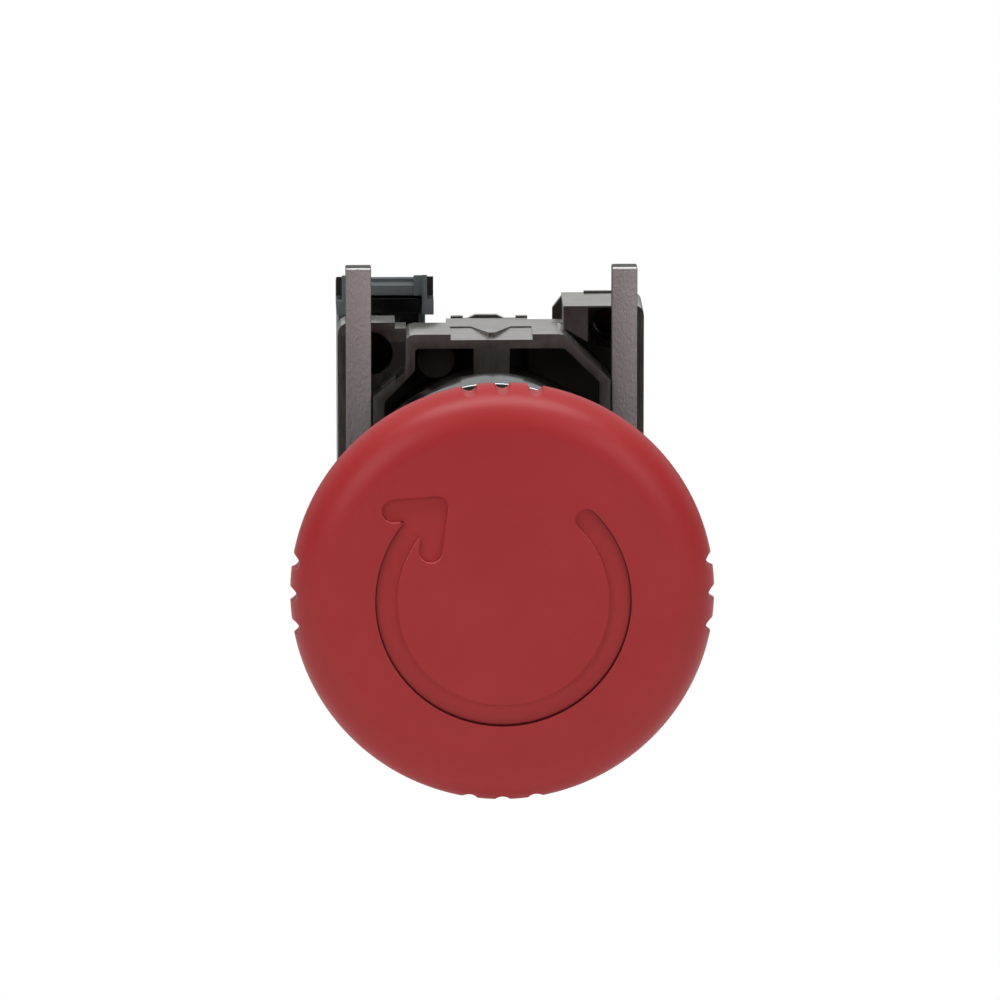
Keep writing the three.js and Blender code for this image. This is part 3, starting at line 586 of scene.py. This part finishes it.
def round_bar(start, end, radius):
    """The outline of a bar with round ends."""
    along = math.degrees(math.atan2(end[1] - start[1], end[0] - start[0]))
    return arc(*start, radius, along + 90, along + 270, 16) + arc(*end, radius, along - 90, along + 90, 16)


def boolean(made, tool, operation):
    """Joins a tool to a piece or cuts it away, and takes the tool off the bench."""
    change = made.modifiers.new("cut", "BOOLEAN")
    change.operation = operation
    change.solver = "EXACT"
    change.object = tool
    with bpy.context.temp_override(object=made, active_object=made):
        bpy.ops.object.modifier_apply(modifier=change.name)
    bpy.data.objects.remove(tool)


# The arrow is a flat union of a band and three round-ended bars. Its floor then follows the domed face.
FULL_ROUND = 348.75
ARROW_RADIUS = 11.0
ARROW_HALF = 1.05
ARROW_DEPTH = 0.42
HEAD_HALF = 1.13
ARROW_START = 45
arrow_tip = (-6.29, 9.0)
arrow_left = (-10.3, 8.66)
arrow_low = (-6.82, 4.83)
arrow_end = math.degrees(math.atan2(arrow_tip[1], arrow_tip[0])) - 360

band_line = arc(0, 0, ARROW_RADIUS + ARROW_HALF, ARROW_START, arrow_end, 140)
band_line += arc(0, 0, ARROW_RADIUS - ARROW_HALF, arrow_end, ARROW_START, 140)
band_start = arc(0, 0, ARROW_RADIUS, ARROW_START, ARROW_START, 1)[0]
arrow = upright("arrow", band_line, cap_front)
for line in (
    arc(*band_start, ARROW_HALF, 0, FULL_ROUND, 31),
    round_bar(arrow_left, arrow_tip, HEAD_HALF),
    round_bar(arrow_tip, arrow_low, HEAD_HALF),
):
    boolean(arrow, upright("arrow_part", line, cap_front), "UNION")
arrow_shape = bmesh.new()
arrow_shape.from_mesh(arrow.data)
floor_faces = [face for face in arrow_shape.faces if face.normal.y > 0.9]
bmesh.ops.triangulate(arrow_shape, faces=floor_faces, quad_method="BEAUTY", ngon_method="BEAUTY")
for corner in arrow_shape.verts:
    if corner.co.y > (cap_front - 0.5) * MM:
        corner.co.y = (crown(math.hypot(corner.co.x, corner.co.z) / MM) + ARROW_DEPTH) * MM
arrow_shape.to_mesh(arrow.data)
arrow_shape.free()
boolean(cap, arrow, "DIFFERENCE")

NOTCH_RADIUS = 0.75
NOTCH_CENTRE = 20.1
for quarter in range(0, 360, 90):
    for offset in (-9, 0, 9):
        turn = math.radians(quarter + offset)
        place = (NOTCH_CENTRE * math.cos(turn), NOTCH_CENTRE * math.sin(turn))
        line = arc(*place, NOTCH_RADIUS, 0, FULL_ROUND, 31)
        notch = upright("notch", line, RIM_REAR + 0.6)
        boolean(cap, notch, "DIFFERENCE")
soften(cap, 0.06, 2, 32)

# The arrow's walls are painted lighter than the face, a painted highlight, and its outer wall and a fine
# line along its outer side are painted dark, a painted shade.
red = Finish("red_moulding", 0.4, 0.0)
red_x, red_y, red_z = red.split(red.place)
_, wall_y, _ = red.facing()
from_axis = Amount(red, red.node("ShaderNodeVectorMath", {"operation": "LENGTH"}, {
    0: red.node("ShaderNodeCombineXYZ", {}, {0: red_x, 2: red_z}).outputs[0],
}).outputs["Value"])
engraved_wall = (
    (1 - red.ramp(0 - wall_y, 0.6, 0.93)) * (1 - red.ramp(red_y, -37.9 * MM, -37.8 * MM))
    * (1 - red.ramp(from_axis, 14.9 * MM, 15.1 * MM))
)
outer_wall = red.ramp(from_axis, 11.6 * MM, 11.8 * MM) * (1 - red.ramp(from_axis, 12.2 * MM, 12.4 * MM))
in_head = red.ramp(red_z, 7.2 * MM, 7.5 * MM) * (1 - red.ramp(red_x, -5.5 * MM, -5.0 * MM))
past_outer = from_axis - (ARROW_RADIUS + ARROW_HALF) * MM
# Painted shade: a fine dark line on the arrow's floor along its outer side.
painted_groove_shade = (
    red.ramp(red_y, -38.55 * MM, -38.45 * MM) * (1 - red.ramp(red_y, -38.0 * MM, -37.9 * MM))
    * red.ramp(past_outer, -0.19 * MM, -0.07 * MM) * (1 - red.ramp(past_outer, 0.15 * MM, 0.25 * MM))
    * (1 - in_head)
)
tone = red.grain(7, 3)
handling = red.grain(1.1, 4)
face_red = red.tint(tone, (0.43, 0.027, 0.029), (0.475, 0.037, 0.039))
# Painted highlight on the arrow's walls, painted shade on its outer wall.
lit_and_shaded_wall_red = red.tint(outer_wall, (0.80, 0.20, 0.20), (0.030, 0.0005, 0.0008))
engraved = red.tint(engraved_wall, face_red, lit_and_shaded_wall_red)
red.paint(painted_groove_shade, engraved, (0.11, 0.0012, 0.0016))
red.gloss(0.31 + 0.07 * tone + 0.06 * handling + 0.4 * engraved_wall * outer_wall)
red.feed(red.shader.inputs["Specular IOR Level"], 0.3)
red.relief(red.grain(0.22, 2), 0.004)
fit(cap, "button_head", "red_plastic", red, "mushroom_cap")


# ---- The fixing collar ----
# A zinc die casting that grips the neck behind the panel. Its roofs are painted bright, a painted
# highlight of the light from above, and its front faces are painted dark, a painted shade. A raised
# pointer on the roof shows which way up it goes.

cast = Finish("cast_zinc", 0.4, 1.0)
_, face_y, face_z = cast.facing()
place_x, place_y, place_z = cast.split(cast.place)
streaks = cast.grain(0.2, 2, (24, 1.5, 1.5))
skin = cast.grain(1.0, 4, (1, 1, 2.4))
front_face = cast.ramp(0 - face_y, 0.3, 0.8)
# The rounded edges between the front faces and the rest are painted a middle grey.
front_edge_band = cast.ramp(0 - face_y, 0.15, 0.3) * (1 - cast.ramp(0 - face_y, 0.93, 0.98))
# Painted highlight: the up and down faces of the roofs are painted bright.
painted_roof_highlight = cast.ramp(abs(face_z), 0.5, 0.8) * cast.ramp(abs(place_z), 15.2 * MM, 15.6 * MM)
# Painted shade: the pockets and the deep front faces are painted almost black.
inside = (
    cast.ramp(place_y, 6.3 * MM, 7.6 * MM) * (1 - cast.ramp(place_y, 12.3 * MM, 12.9 * MM))
    * (1 - cast.ramp(abs(place_z), 15.6 * MM, 15.75 * MM))
    * (1 - cast.ramp(abs(place_x), 10.6 * MM, 10.8 * MM))
)
painted_recess_shade = cast.ramp(inside + front_face * cast.ramp(place_y, 9.8 * MM, 11.5 * MM), 0, 1)
# Painted shade on the front faces: lighter towards the roof, darker lower down.
painted_light_up_high = cast.ramp(abs(place_z), 13 * MM, 16.5 * MM) * (1 - cast.ramp(place_y, 6.5 * MM, 9 * MM))

grey = cast.tint(skin, (0.27, 0.26, 0.245), (0.40, 0.39, 0.37))
lit_roof_colour = cast.tint(streaks * 0.65 + skin * 0.35, (0.50, 0.495, 0.48), (0.86, 0.85, 0.83))
# Painted shade: the front faces are painted near black.
shaded_front_colour = cast.tint(skin * 0.7 + painted_light_up_high * 0.3, (0.018, 0.015, 0.013), (0.125, 0.109, 0.098))
roofed = cast.tint(painted_roof_highlight, grey, lit_roof_colour)
fronted = cast.tint(front_face, roofed, shaded_front_colour)
edged = cast.tint(front_edge_band, fronted, (0.30, 0.29, 0.27))
cast.paint(painted_recess_shade, edged, (0.034, 0.029, 0.026))
cast.feed(cast.shader.inputs["Metallic"], 1 - 0.6 * cast.ramp(front_face + painted_recess_shade, 0, 1))
cast.gloss(0.26 + 0.12 * streaks + 0.12 * front_face + 0.3 * painted_recess_shade)
cast.relief(streaks * painted_roof_highlight * 0.4 + skin * 0.6, 0.02)

collar = trimmed("fixing_collar", "collar_casting", 0.13)
fit(collar, "fixed_body", "cast_zinc", cast, "fixing_collar")


# ---- The lock ring ----
# A stamped steel ring with two teeth that hook into the neck's groove, turned by its folded lever.

lock = trimmed("lock_ring", "lock_ring_stamping", 0.12)
fit(lock, "lock_lever", "spring_steel", plated, "lock_ring")


# ---- The clamp bars and their screws ----
# Two upright cast bars with a leathery texture press on the panel's rear face. Each slides on two pegs
# in the collar and is pushed by a small cross-recess screw.

bar_cast = Finish("textured_bar", 0.55, 0.0)
_, _, bar_z = bar_cast.split(bar_cast.place)
turn_x, turn_y, turn_z = bar_cast.facing()
leather = bar_cast.grain(0.34, 2.5, (0.8, 1, 1.25))
# Painted shading: the coat is painted lighter towards the top and darker lower down.
painted_light_towards_top = bar_cast.ramp(bar_z, 2 * MM, 23 * MM)
# The ends and the sides of the bars are painted near black.
end_face = bar_cast.ramp(abs(turn_z), 0.8, 0.97)
side_face = bar_cast.ramp(abs(turn_x), 0.8, 0.97)
# Painted highlight: the rounded edge between the top and the front is painted near white.
painted_edge_highlight = bar_cast.ramp(abs(turn_z * turn_y), 0.2, 0.34)
coat = bar_cast.tint(painted_light_towards_top * 0.7 + leather * 0.3, (0.165, 0.140, 0.139), (0.350, 0.312, 0.316))
dark_ends_and_sides = bar_cast.tint(bar_cast.ramp(end_face + side_face, 0, 1), coat, (0.055, 0.052, 0.050))
bar_cast.paint(painted_edge_highlight, dark_ends_and_sides, (0.90, 0.90, 0.90))
bar_cast.gloss(0.50 + 0.15 * leather - 0.15 * end_face)
bar_cast.relief(leather * (1 - 0.8 * end_face), 0.15)

oxide = Finish("black_oxide_steel", 0.4, 1.0)
oil = oxide.grain(0.9, 3)
oxide.paint(oil, (0.012, 0.011, 0.011), (0.045, 0.043, 0.041))
oxide.gloss(0.34 + 0.2 * oil)
oxide.relief(oxide.grain(0.2, 2, (1, 6, 1)), 0.004)

for side in ("left", "right"):
    bar = trimmed("clamp_bar_" + side, "pressing_bar_" + side, 0.16)
    fit(bar, "bar_" + side, "bar_zinc", bar_cast, "clamp_bar_" + side)
    screw = trimmed("clamp_screw_" + side, "pressing_screw_" + side, 0.08)
    fit(screw, "screw_" + side, "spring_steel", oxide, "clamp_screw_" + side)


# ---- The contact block's case ----
# A slate grey thermoplastic housing closed by a side cover, with two ears at each end. The ears' slots are
# painted almost black inside, a painted shade, and open at their ends. A black latch slides in the upper
# end and hooks into the collar.

slate = Finish("slate_moulding", 0.5, 0.0)
cloud = slate.grain(2.2, 3)
slate_x, slate_y, slate_z = slate.split(slate.place)
EARS_MIDDLE = -10.27
SLOT_REAR = 19.4
SLOT_END = 20.72
# Painted shade: the inside of the ears' slots is painted almost black.
ear_slot = (
    slate.ramp(slate_y, 17.05 * MM, 17.2 * MM) * (1 - slate.ramp(slate_y, 19.5 * MM, 19.7 * MM))
    * slate.ramp(abs(slate_z), 18.3 * MM, 18.45 * MM)
    * (1 - slate.ramp(abs(slate_z), 20.76 * MM, 20.86 * MM))
    * slate.ramp(abs(slate_x - EARS_MIDDLE * MM), 4.1 * MM, 4.18 * MM)
)
shell = slate.tint(cloud, (0.080, 0.098, 0.100), (0.110, 0.133, 0.136))
slate.paint(ear_slot, shell, (0.003, 0.003, 0.003))
slate.gloss(0.42 + 0.16 * cloud + 0.3 * ear_slot)
slate.relief(slate.grain(0.12, 2), 0.007)

housing = trimmed("block_housing", "contact_housing", 0.12)
fit(housing, "fixed_body", "slate_plastic", slate, "block_housing")
cover = trimmed("block_cover", "contact_cover", 0.12)
fit(cover, "fixed_body", "slate_plastic", slate, "block_cover")
for case, left, right in ((cover, -15.3, -14.5), (housing, -6.1, -5.2)):
    for low, high in ((SLOT_END, 21.5), (-21.5, -SLOT_END)):
        open_end = [(left, low), (right, low), (right, high), (left, high)]
        boolean(case, upright("open_slot_end", open_end, SLOT_REAR), "DIFFERENCE")
latch = trimmed("block_latch", "contact_latch", 0.15)
fit(latch, "release_latch", "black_plastic", black_nylon, "block_latch")


# ---- The moving contact ----
# A cream plunger carries a brass bridge with two silver tips. A light spring closes them again.

brass = Finish("stamped_brass", 0.25, 1.0)
tarnish = brass.grain(2.0, 4)
brass.paint(tarnish, (0.55, 0.37, 0.13), (0.80, 0.60, 0.27))
brass.gloss(0.2 + 0.2 * tarnish)
brass.relief(brass.grain(0.2, 2, (1, 1, 6)), 0.003)

silver = Finish("contact_silver", 0.25, 1.0)
dulling = silver.grain(0.8, 3)
silver.paint(dulling, (0.70, 0.69, 0.66), (0.88, 0.87, 0.84))
silver.gloss(0.2 + 0.2 * dulling)
silver.relief(dulling, 0.004)

plunger = trimmed("contact_plunger", "moving_plunger", 0.12)
fit(plunger, "contact_carrier", "cream_plastic", nylon, "contact_plunger")
bridge = trimmed("contact_bridge", "moving_bridge", 0.1)
fit(bridge, "contact_carrier", "brass_strip", brass, "contact_bridge")

CONTACT_X = -10.1
CONTACT_FRONT = 34.6
CONTACT_REAR = 41.7
CONTACT_WIRE = 0.25
CONTACT_CLOSED = 0.575
CONTACT_OPEN_TURNS = 3
contact_length = CONTACT_REAR - CONTACT_FRONT - 2 * CONTACT_WIRE - 2 * CONTACT_CLOSED
contact_coil = coil("contact_coil", CONTACT_X, 1.9, CONTACT_WIRE, CONTACT_FRONT, [
    (1, CONTACT_CLOSED), (CONTACT_OPEN_TURNS, contact_length / CONTACT_OPEN_TURNS), (1, CONTACT_CLOSED),
], 8, 28)
fit(contact_coil, "fixed_body", "spring_steel", music_wire, "contact_spring")
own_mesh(contact_coil)


# ---- The fixed contacts and terminals ----
# Each bent brass strip runs from a silver tip to a terminal, where a cross-recess screw draws a plate
# down on the wire.

for end in ("top", "bottom"):
    for kind, body in (("moving", "contact_carrier"), ("fixed", "fixed_body")):
        tip = trimmed(kind + "_tip_" + end, kind + "_silver_tip_" + end, 0.1)
        fit(tip, body, "contact_silver", silver, kind + "_tip_" + end)
    strip = trimmed("fixed_contact_" + end, "fixed_strip_" + end, 0.08)
    fit(strip, "fixed_body", "brass_strip", brass, "fixed_contact_" + end)
    clamp = trimmed("terminal_clamp_" + end, "wire_plate_" + end, 0.1)
    fit(clamp, "wire_clamp_" + end, "spring_steel", plated, "terminal_clamp_" + end)
    screw = trimmed("terminal_screw_" + end, "wire_screw_" + end, 0.08)
    fit(screw, "wire_screw_" + end, "spring_steel", plated, "terminal_screw_" + end)
